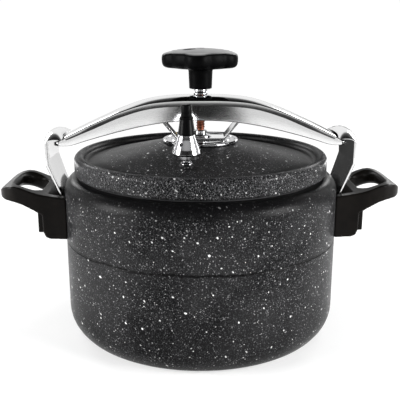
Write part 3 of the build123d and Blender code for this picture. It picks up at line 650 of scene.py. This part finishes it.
fit_turned("lid_gasket", "gasket_ring", [
    (103.7, 7.5, 0.6), (103.7, 1.9, 0.5), (105.2, 0.05, 0.5), (108.4, 0.05, 0.5), (110.2, 1.5, 0.6),
    (112.0, 0.05, 0.5), (115.0, 0.05, 0.5), (116.5, 1.9, 0.5), (116.5, 7.5, 0.6),
], steps=192)

fit_turned("centre_plate", "plate_disc", [
    (7.25, 0.02), (35.0, 0.02, 0.6), (36.0, 1.1, 0.7), (36.0, 2.5, 0.7), (35.2, 3.3, 0.5),
    (32.8, 3.3, 0.6), (31.6, 2.25, 0.8), (28.4, 2.25, 0.8), (27.2, 3.3, 0.6), (7.25, 3.3, 0.3),
], steps=160)


# ---------------------------------------------------------------- stirrups


def offset_path(path, distance):
    """The same path moved sideways, to its left."""
    moved = []
    for i, point in enumerate(path):
        before = path[max(i - 1, 0)]
        after = path[min(i + 1, len(path) - 1)]
        along = (after - before).normalized()
        moved.append(point + Vector((-along.y, along.x)) * distance)
    return moved


def resample(path, step):
    """Points an even step apart along a line."""
    fine = [path[0]]
    for a, b in zip(path, path[1:]):
        pieces = max(1, round((b - a).length / step))
        fine.extend(a.lerp(b, k / pieces) for k in range(1, pieces + 1))
    return fine


def strip_section(half, thick, edge):
    """A rounded flat section: (place across, level) points, with level 1 on top and -1 below."""
    flat = half - edge
    bulge = edge / (thick / 2)
    spread = [k / 4 for k in range(-4, 5)]
    section = []
    for way in (1, -1):
        section += [(way * share * flat, way) for share in spread]
        for turn in (60, 30, 0, -30, -60):
            lean = math.radians(turn)
            straight = (1 - bulge) * ((turn > 0) - (turn < 0))
            section.append((way * (flat + edge * math.cos(lean)), way * (math.sin(lean) * bulge + straight)))
    return section


def strip(name, path, thick, edge, half_at, shift=None):
    """A bent strip: a section carried along a path in XZ, its width along Y."""
    upper = offset_path(path, thick / 2)
    lower = offset_path(path, -thick / 2)
    total = sum((b - a).length for a, b in zip(path, path[1:]))
    rows = []
    gone = 0.0
    for i, (top, low) in enumerate(zip(upper, lower)):
        if i:
            gone += (path[i] - path[i - 1]).length
        row = []
        for across, level in strip_section(half_at(gone, total), thick, edge):
            point = top.lerp(low, (1 - level) / 2)
            x, z = shift(across, point.x, point.y) if shift else point
            row.append((x * MM, across * MM, z * MM))
        rows.append(row)
    return finish_mesh(name, loft_data(rows))


def rounded_end(half, distance, radius):
    """A strip's half width at a distance from its end, where the end's corners are rounded."""
    if distance >= radius:
        return half
    return half - radius + math.sqrt(max(radius * radius - (radius - distance) ** 2, 0.0))


def make_stirrup(side):
    """A steel strip from the pot's wall up to the hook over the bar's end, curved with the pot."""
    thick, half, hook_flare = 2.4, 27.0, 3.5
    flare_start, flare_length = 30.0, 26.0
    lip_corner, foot_corner = 6.0, 4.0
    dome_drop = 5.6
    hook_r, curl_r = 8.9, 7.65
    foot_x, foot_z = 131.5, 112.2
    out_x = STIRRUP_HIGH.x / MM + 1.5
    curl = (out_x - hook_r, STIRRUP_HIGH.z / MM - hook_r)
    mid = out_x - thick / 2
    rise = rounded([(foot_x, foot_z), (foot_x, 127.8, 7), (mid, 163.2, 7), (mid, curl[1])], False, 8)
    path = resample([*rise, *arc(curl, (curl_r, curl_r), 0, 150, 14)[1:]], 2.2)

    def half_at(gone, total):
        wide = half + hook_flare * min(max((gone - flare_start) / flare_length, 0.0), 1.0)
        if total - gone < lip_corner:
            return rounded_end(wide, total - gone, lip_corner)
        return rounded_end(wide, gone, foot_corner)

    def hug(across, x, z):
        """Bends the strip round the pot's axis and domes the hook."""
        dome = max(z - curl[1], 0.0) / hook_r
        drop = dome_drop * (abs(across) / (half + hook_flare)) ** 3.2
        return math.sqrt(x * x - across * across), z - drop * dome

    obj = strip("stirrup_strip_" + side, path, thick, 0.8, half_at, hug)
    if side == "left":
        mirror_x(obj.data)
    return obj


for side in ("left", "right"):
    dress(make_stirrup(side), "stirrup_" + side)


# ---------------------------------------------------------------- handles


def hole_cutter():
    """The finger hole's hollow, flared at the top and bottom so that the loop's inside is rounded."""
    centre_x, reach, half, squareness = 162.2, 12.0, 25.5, 0.74
    pot_side_x, inner_flare, steps = 152, 0.35, 64
    top = (139.6, 0.24, [(9.0, 7.6), (0.6, 4.6), (-1.2, 2.6), (-3.2, 1.2), (-6.0, 0.2)])
    bottom = (121.0, 0.42, [(6.0, 0.6), (3.6, 2.0), (1.6, 4.4), (0.0, 7.0), (-9.0, 11.0)])
    lowest, lowest_inset = -9.0, -3.5
    rows = []
    for level, slope, flares in (top, bottom):
        for rise, flare in flares:
            inward = lowest_inset if rise == lowest else flare * inner_flare
            row = []
            for k in range(steps):
                turn = math.tau * k / steps
                c, n = math.cos(turn), math.sin(turn)
                along = reach + (flare if c > 0 else inward)
                x = centre_x + math.copysign(abs(c) ** squareness, c) * along
                y = math.copysign(abs(n) ** squareness, n) * (half + flare)
                z = level + (x - pot_side_x) * slope
                row.append((-x * MM, y * MM, (z + rise) * MM))
            rows.append(row)
    return finish_mesh("hole_cutter", loft_data(rows))


def make_handle():
    """The left handle's CAD shape with a flared finger hole, rounded all over by a remesh and smoothing."""
    obj = cad_copy("grip_left", "handle_left")
    cutter = hole_cutter()
    cut(obj, cutter)
    skin = obj.modifiers.new("skin", "REMESH")
    skin.mode = "VOXEL"
    skin.voxel_size = 0.75 * MM
    skin.use_smooth_shade = True
    soften = obj.modifiers.new("soften", "SMOOTH")
    soften.factor = 0.5
    soften.iterations = 12
    apply_modifiers(obj)
    bpy.data.objects.remove(cutter)
    shade_smooth(obj.data)
    return obj


grip_left = make_handle()
grip_right = new_object("grip_right", grip_left.data.copy())
mirror_x(grip_right.data)
dress(grip_left, "handle_left")
dress(grip_right, "handle_right")


# ---------------------------------------------------------------- clamp bar


# The bar's x, top, underside and the rise of its crown, in millimetres.
BAR_STATIONS = [
    (0.0, 220.3, 202.0, 4.3), (26.0, 219.9, 200.9, 4.1), (50.0, 217.3, 197.6, 3.3),
    (74.0, 210.3, 192.3, 2.2), (92.0, 202.8, 187.6, 1.7), (108.0, 195.6, 183.0, 1.5),
    (122.0, 188.9, 179.0, 1.2), (132.0, 184.0, 178.8, 0.9), (137.6, 181.4, 179.2, 0.7),
]


def between(table, x):
    """Smooth values at x from rows of (x, value, ...), by a cubic through the neighbours."""
    x = min(max(x, table[0][0]), table[-1][0])
    i = max(k for k in range(len(table) - 1) if table[k][0] <= x)
    here, there = table[i], table[i + 1]
    span = there[0] - here[0]
    t = (x - here[0]) / span
    here_share, there_share = 2 * t ** 3 - 3 * t * t + 1, -2 * t ** 3 + 3 * t * t
    here_lean, there_lean = (t ** 3 - 2 * t * t + t) * span, (t ** 3 - t * t) * span
    values = []
    for c in range(1, len(here)):
        slope_here, slope_there = 0.0, (there[c] - here[c]) / span
        if i > 0:
            slope_here = (there[c] - table[i - 1][c]) / (there[0] - table[i - 1][0])
        if i + 2 < len(table):
            slope_there = (table[i + 2][c] - here[c]) / (table[i + 2][0] - here[0])
        values.append(here_share * here[c] + here_lean * slope_here
                      + there_share * there[c] + there_lean * slope_there)
    return values


def bar_section(x):
    """The channel's section at x: crowned top, shoulders, side walls and the hollow below."""
    top, low, crown = between(BAR_STATIONS, abs(x))
    thick, full_height = 2.4, 12.0
    half = rounded_end(19.0, BAR_END_X / MM - abs(x), 7.0)
    tall = top - low
    size = min(tall / full_height, 1.0)
    roll = min(2.1, tall * 0.42)
    shoulder_inset = 1.45 * size
    shoulder_drop = min(5.0, tall * 0.36)
    foot = min(0.8, tall * 0.2)
    flat = half - shoulder_inset - roll * 1.6
    outer = [(half - thick, low), (half, low, foot), (half, top - shoulder_drop, 2.2 * size),
             (half - shoulder_inset, top, roll)]
    for y in (flat, flat * 2 / 3, flat / 3, 0):
        outer.append((y, top + crown * (1 - (y / half) ** 2)))

    wide = half - thick
    ceiling = max(top - thick, low + 0.03)
    inner_roll = min(1.2, max(ceiling - low, 0.06) * 0.4)
    inner = []
    for share in (0, 0.45, 0.9):
        inner.append((wide * share, ceiling - 0.1 * crown + crown * (1 - share ** 2)))
    inner += [(wide - 0.05, ceiling + 0.1 * crown, inner_roll), (wide - 0.05, low)]
    right_half = [*rounded(inner, False, 4), *rounded(outer, False, 5)]
    left_half = [Vector((-p.x, p.y)) for p in reversed(right_half)]
    return [(x * MM, p.x * MM, p.y * MM) for p in right_half + left_half[1:-1]]


def make_bar():
    """The arched channel, with stations closer together toward its ends."""
    reach = BAR_END_X / MM - 0.02
    widest = math.pi / 2 * 0.86
    stations = [reach * math.sin(k / 120 * widest) / math.sin(widest) for k in range(-120, 121)]
    return finish_mesh("bar_channel", loft_data([bar_section(x) for x in stations]), 44)


dress(make_bar(), "clamp_bar")


# ---------------------------------------------------------------- clip


PIN_X, PIN_Z = 36.4, middle("clip_pins").z / MM


def make_clip():
    """The strip on the centre plate, bent up on both sides into an eye round each cross pin."""
    thick, half, eye_r, foot_x = 1.6, 12.0, 2.95, 22.0
    middle_z = CLIP_LOW_Z / MM + thick / 2
    eye = arc((PIN_X, PIN_Z), (eye_r, eye_r), -110, 190, 16)
    arm = rounded([(0.0, middle_z), (foot_x, middle_z, 3.0), tuple(eye[0])], False, 6)
    right = [*arm[:-1], *eye]
    left = [Vector((-p.x, p.y)) for p in reversed(right)]
    path = resample([*left[:-1], *right], 1.4)
    return strip("clip_strip", path, thick, 0.6, lambda gone, total: half)


dress(make_clip(), "v_clip")


def pin_data(x):
    """A cross pin along Y."""
    radius, half = 2.2, 16.4
    verts, faces = turned_data([(0, -half), (radius, -half, 0.4), (radius, half, 0.4), (0, half)], 40)
    return [(x * MM + v[0], v[2], PIN_Z * MM + v[1]) for v in verts], faces


def make_pins():
    """Two plain cross pins in the clip's eyes, hidden behind the bar's side walls."""
    return finish_mesh("cross_pins", joined(pin_data(-PIN_X), pin_data(PIN_X)))


dress(make_pins(), "clip_pins")


# ---------------------------------------------------------------- screw, foot, collar, knob


def thread_data(bottom, top):
    """A right-hand thread that fades out at its lower end."""
    pitch, steps, levels = 2.5, 48, 240
    crest_r, depth, fade_length, fade_depth = 4.08, 0.62, 1.0, 0.5
    crest_half, flank = 0.12, 0.62
    rows = []
    for i in range(levels + 1):
        height = bottom + (top - bottom) * i / levels
        fade = min((height - bottom) / fade_length, 1.0)
        ring = []
        for k in range(steps):
            turn = math.tau * k / steps
            phase = (height / pitch - turn / math.tau) % 1.0
            from_crest = abs(phase - 0.5) * 2
            groove = min(max((from_crest - crest_half) / flank, 0.0), 1.0)
            radius = crest_r - depth * groove * fade - fade_depth * (1 - fade)
            ring.append((radius * math.cos(turn) * MM, radius * math.sin(turn) * MM, height * MM))
        rows.append(ring)
    return loft_data(rows)


def make_screw():
    """The threaded stretch with its turned tip below and its plain shank above."""
    base = foot_of("clamp_screw")
    tip = raised("clamp_screw", [(0, 0.05), (2.4, 0.05, 0.4), (2.4, 2.5), (3.3, 3.1), (0, 3.1)])
    shank = raised("clamp_screw", [(0, 41.5), (4.05, 41.5), (4.05, 60.7, 0.5), (0, 60.7)])
    thread = thread_data(base + 3.0, base + 41.6)
    shape = joined(thread, turned_data(tip, 48), turned_data(shank, 48))
    return finish_mesh("screw_thread", shape, 60)


dress(make_screw(), "clamp_screw")

fit_turned("thrust_foot", "foot_pad", [
    (0, 1.6), (2.5, 1.6, 0.2), (2.5, 4.05, 0.4), (6.3, 4.05, 0.7), (6.3, 0.0, 0.6), (0, 0.0),
], steps=72)

fit_turned("knob_insert", "collar_ring", [
    (4.15, -0.2, 0.2), (7.2, -0.2, 0.5), (7.0, 1.0, 0.4), (6.2, 1.8, 0.4), (5.95, 2.4, 0.3),
    (6.2, 3.0, 0.3), (6.2, 4.75, 0.7), (5.4, 4.75), (5.4, 23.0), (4.15, 23.0),
], steps=72)


def lobe_radius(turn):
    """The scalloped outline of the knob's head: five round lobes, blended into a round core."""
    core_r, lobe_out, lobe_r, blend_width, outermost = 31.9, 23.9, 12.5, 0.9, 36.38
    near = 30
    first_lobe = math.radians(-97.0)
    step = math.tau / 5
    off = (turn - first_lobe + step / 2) % step - step / 2
    inside = lobe_r * lobe_r - (lobe_out * math.sin(off)) ** 2
    lobe = lobe_out * math.cos(off) + math.sqrt(inside) if inside > 0 else 0.0
    core_part = math.exp((core_r - near) / blend_width)
    lobe_part = math.exp((lobe - near) / blend_width)
    return min(blend_width * math.log(core_part + lobe_part) + near, outermost)


def dome_height(radius, turn):
    """The knob's domed top with two raised rings and two shallow dimples, from the knob's foot up."""
    x, y = radius * math.cos(turn), radius * math.sin(turn)
    r = math.hypot(x, y)
    z = 37.1 - 4.1 * (r / 33.0) ** 2.1
    for ring_r, rise, width in ((26.2, 0.32, 1.0), (21.4, 0.26, 0.9)):
        z += rise * math.exp(-((r - ring_r) / width) ** 2)
    dimples = ((0.0, 0.0, 3.9, 3.9, 2.4), (-10.5, -8.6, 5.8, 3.5, 2.2))
    for centre_x, centre_y, reach_x, reach_y, deep in dimples:
        away = math.hypot((x - centre_x) / reach_x, (y - centre_y) / reach_y)
        edge = min(max((1.08 - away) / 0.2, 0.0), 1.0)
        z -= deep * edge * edge * (3 - 2 * edge)
    return z


def make_knob():
    """The knob, skinned through rings: stem, underside, scalloped side, shoulder and domed top."""
    steps, dome_rings, dome_inset = 240, 72, 4.6
    base = foot_of("knob")
    turns = [math.tau * k / steps for k in range(steps)]
    lobes = [lobe_radius(turn) for turn in turns]
    rows = []

    def add_ring(radii, heights):
        rows.append([(r * math.cos(turn) * MM, r * math.sin(turn) * MM, (base + z) * MM)
                     for turn, r, z in zip(turns, radii, heights)])

    stem = [(5.5, 18.4), (5.5, 0.1), (9.9, 0.05), (10.35, 0.2), (10.62, 0.7)]
    stem += [(10.62 + 0.65 * k / 6, 0.7 + 15.8 * k / 6) for k in range(1, 7)]
    underside = [(11.6, 17.4), (12.4, 18.0), (14.0, 18.3), (20.0, 18.6), (25.0, 19.1)]
    for r, z in (*stem, *underside):
        add_ring([r] * steps, [z] * steps)
    for inset, z in ((5.2, 19.6), (3.0, 20.2), (1.5, 21.3), (0.6, 22.8), (0.15, 24.8), (0.0, 27.2)):
        add_ring([lobe - inset for lobe in lobes], [z] * steps)
    edge_heights = [dome_height(lobe - dome_inset, turn) - 0.25 for lobe, turn in zip(lobes, turns)]
    for inset, drop in ((0.1, 3.6), (0.45, 2.2), (1.1, 1.15), (2.1, 0.45), (3.3, 0.12)):
        add_ring([lobe - inset for lobe in lobes], [z - drop for z in edge_heights])
    for k in range(dome_rings):
        radii = [(lobe - dome_inset) * (1 - k / dome_rings) for lobe in lobes]
        add_ring(radii, [dome_height(r, turn) for r, turn in zip(radii, turns)])
    add_ring([0.25] * steps, [dome_height(0, 0)] * steps)
    return finish_mesh("knob_head", loft_data(rows), 50)


dress(make_knob(), "knob")


# ---------------------------------------------------------------- regulator, vent and valve


AT_VENT = (VENT.x, VENT.y)


def make_skirt():
    """The regulator's chrome bell, with three vent holes drilled in its side."""
    line = [
        (2.3, 16.4), (3.6, 15.2, 0.4), (3.6, 8.8, 0.6), (9.2, 3.6, 0.5), (9.2, 0.0, 0.3),
        (10.8, 0.0, 0.4), (11.2, 0.5, 0.4), (11.2, 3.5, 0.5), (12.35, 4.1, 0.4),
        (12.55, 4.9, 0.5), (11.7, 8.2, 14), (10.0, 12.6, 20), (8.4, 16.8, 20), (7.35, 20.1, 0.4),
        (7.0, 20.5), (3.2, 20.5), (3.2, 30.4), (2.3, 30.4),
    ]
    bell = turned("regulator_bell", raised("regulator_skirt", line), AT_VENT)
    drill_r, drill_half, drill_out = 1.7, 4.5, 9.8
    drill_z = foot_of("regulator_skirt") + 13.2
    drills = []
    for angle in (-119, 1, 121):
        turn = math.radians(angle)
        side = [(0, -drill_half), (drill_r, -drill_half), (drill_r, drill_half), (0, drill_half)]
        drill = finish_mesh("drill", turned_data(side, 28))
        drill.rotation_euler = (0, math.pi / 2, turn)
        drill.location = (VENT.x + drill_out * MM * math.cos(turn), VENT.y + drill_out * MM * math.sin(turn),
                          drill_z * MM)
        cut(bell, drill)
        drills.append(drill)
    apply_modifiers(bell)
    bell.data.set_sharp_from_angle(angle=math.radians(38))
    for drill in drills:
        bpy.data.objects.remove(drill)
    return bell


dress(make_skirt(), "regulator_skirt")

fit_turned("regulator_cone", "regulator_body", [
    (3.25, 0.01), (7.1, 0.01, 0.4), (7.4, 0.85, 0.4), (6.6, 5.85, 30), (5.5, 13.25, 0.8),
    (5.95, 13.75, 0.25), (5.95, 14.85, 0.35), (5.5, 15.35, 0.3), (3.1, 15.35), (3.1, 10.05), (3.25, 9.95),
], AT_VENT)

fit_turned("regulator_grip", "regulator_top", [
    (0, 0.05), (2.9, 0.05), (2.9, 5.15), (4.7, 5.15, 0.2), (4.72, 7.8, 0.25), (4.45, 8.2, 0.2),
    (4.72, 8.6, 0.25), (4.75, 15.3, 1.3), (0, 15.3),
], AT_VENT)

fit_turned("vent_pipe", "vent_nozzle", [
    (1.3, 0.0, 0.2), (3.8, 0.0, 0.4), (3.8, 13.55), (5.4, 13.55, 0.3), (5.4, 14.9, 0.6),
    (4.2, 16.5, 0.5), (4.2, 19.7, 0.6), (3.0, 21.5, 0.6), (3.0, 33.2, 0.5), (1.3, 33.2, 0.2),
], AT_VENT, 64)

for node in ("swivel_bushing", "bushing_nut", "vent_washer", "vent_nut", "valve_body", "valve_washer",
             "valve_nut", "valve_plunger", "bar_boss", "regulator_needle"):
    softened(node, 0.35)
for side in ("left", "right"):
    softened("handle_bracket_" + side, 0.5)
    softened("handle_screw_" + side, 0.4)
    softened("stirrup_rivets_" + side, 0.6)

for node, obj in nodes.items():
    obj.data.materials.clear()
    obj.data.materials.append(MATERIALS[slot_of_node[node]])


# ---------------------------------------------------------------- floor, light and camera


def make_floor():
    """A pale disc that fades out into the white backdrop."""
    below = -0.2
    fade_start, fade_end = 0.55, 1.3
    floor = finish_mesh("floor", turned_data([(radius, below) for radius in (0, 600, 1200, 1600)], 96))
    s = Shader("floor_paint", (0.6, 0.6, 0.6), 0.0, 0.6, 0.1)
    s.out.inputs["Emission Color"].default_value = (1, 1, 1, 1)
    s.out.inputs["Emission Strength"].default_value = 0.5
    s.color(s.blend(s.remap(s.noise(40, 3), 0.3, 0.7), (0.5, 0.5, 0.5), (0.53, 0.53, 0.53)))
    far = s.add("ShaderNodeVectorMath", operation="LENGTH")
    s.link(s.where, far.inputs[0])
    s.link(s.remap(far.outputs["Value"], fade_start, fade_end, 1.0, 0.0, smooth=True), s.out.inputs["Alpha"])
    floor.data.materials.append(s.material)


make_floor()


def add_light(name, place, aim, size, power):
    light = bpy.data.lights.new(name, "AREA")
    light.shape = "RECTANGLE"
    light.size, light.size_y = size
    light.energy = power
    obj = new_object(name, light)
    obj.location = place
    obj.rotation_euler = (Vector(aim) - Vector(place)).to_track_quat("-Z", "Y").to_euler()


add_light("left_box", (-1.4, -0.45, 0.5), (0, 0, 0.1), (0.7, 0.8), 29)
add_light("right_box", (1.3, -0.65, 0.5), (0, 0, 0.1), (0.7, 0.8), 34)
add_light("back_left", (-0.9, 1.2, 0.75), (0, 0, 0.15), (0.6, 0.5), 8)
add_light("back_right", (0.9, 1.2, 0.75), (0, 0, 0.15), (0.6, 0.5), 8)


def glossy_card(name, left, right, y, top, tone):
    """A dark upright card, standing on the floor and seen only in reflections."""
    mesh = bpy.data.meshes.new(name)
    mesh.from_pydata([(left, y, 0.0), (right, y, 0.0), (right, y, top), (left, y, top)], [], [(0, 1, 2, 3)])
    card = new_object(name, mesh)
    s = Shader(name, (tone, tone, tone), 0.0, 0.9, 0.0)
    low, high = tone * 0.9, tone * 1.1
    s.color(s.blend(s.remap(s.noise(30, 3), 0.3, 0.7), (low, low, low), (high, high, high)))
    mesh.materials.append(s.material)
    card.visible_camera = False
    card.visible_diffuse = False
    card.visible_shadow = False


glossy_card("front_card", -0.045, 0.085, -0.66, 0.5, 0.012)
glossy_card("back_card", -0.02, 0.24, 0.2, 0.2, 0.03)


def ramp(w, source, stops):
    """Grey levels at places between 0 and 1, eased from one to the next."""
    node = w.add("ShaderNodeValToRGB")
    node.color_ramp.interpolation = "EASE"
    while len(node.color_ramp.elements) < len(stops):
        node.color_ramp.elements.new(0.5)
    for element, (at, level) in zip(node.color_ramp.elements, stops):
        element.position = at
        element.color = (level, level, level, 1)
    w.link(source, node.inputs["Fac"])
    return node.outputs["Color"]


def make_world():
    """White for the camera, and a studio for all other rays.

    The studio's brightness changes with height, in one way on the camera's side and in another elsewhere.
    """
    world = bpy.data.worlds.new("studio")
    bpy.context.scene.world = world
    world.use_nodes = True
    w = NodeTree(world.node_tree)
    w.tree.nodes.clear()
    out = w.add("ShaderNodeOutputWorld")
    direction = w.split(w.add("ShaderNodeTexCoord").outputs["Generated"])
    height = direction[2]
    elsewhere = ramp(w, height, [
        (0.0, 0.85), (0.1, 0.85), (0.2, 1.0), (0.5, 1.0), (0.7, 0.1), (0.85, 0.02)])
    camera_side = ramp(w, height, [
        (0.0, 0.85), (0.13, 0.8), (0.2, 0.04), (0.44, 0.04), (0.52, 0.9), (0.68, 0.9), (0.76, 0.02)])
    away = ramp(w, w.math("MULTIPLY_ADD", direction[1], 0.5, 0.5), [(0.19, 0.0), (0.3, 1.0)])
    studio = w.add("ShaderNodeBackground")
    w.link(w.blend(away, camera_side, elsewhere), studio.inputs["Color"])
    studio.inputs["Strength"].default_value = 1.0
    white = w.add("ShaderNodeBackground")
    white.inputs["Color"].default_value = (1, 1, 1, 1)
    white.inputs["Strength"].default_value = 1.02
    mix = w.add("ShaderNodeMixShader")
    w.link(w.add("ShaderNodeLightPath").outputs["Is Camera Ray"], mix.inputs["Fac"])
    w.link(studio.outputs["Background"], mix.inputs[1])
    w.link(white.outputs["Background"], mix.inputs[2])
    w.link(mix.outputs["Shader"], out.inputs["Surface"])


make_world()
bpy.context.scene.view_settings.view_transform = "Standard"
bpy.context.scene.view_settings.look = "None"

CAMERA_AWAY = 0.64754
CAMERA_HEIGHT = 0.29454
CAMERA_TURN = math.radians(-1.5)
CAMERA_DOWN = math.radians(14.978)

camera_data = bpy.data.cameras.new("camera")
camera_data.lens = 61.54
camera_data.sensor_width = 36
camera_data.shift_x = -0.0013
camera = new_object("camera", camera_data)
camera.location = (CAMERA_AWAY * math.sin(CAMERA_TURN), -CAMERA_AWAY * math.cos(CAMERA_TURN), CAMERA_HEIGHT)
camera.rotation_euler = (math.pi / 2 - CAMERA_DOWN, 0, CAMERA_TURN)
bpy.context.scene.camera = camera

bpy.context.view_layer.update()
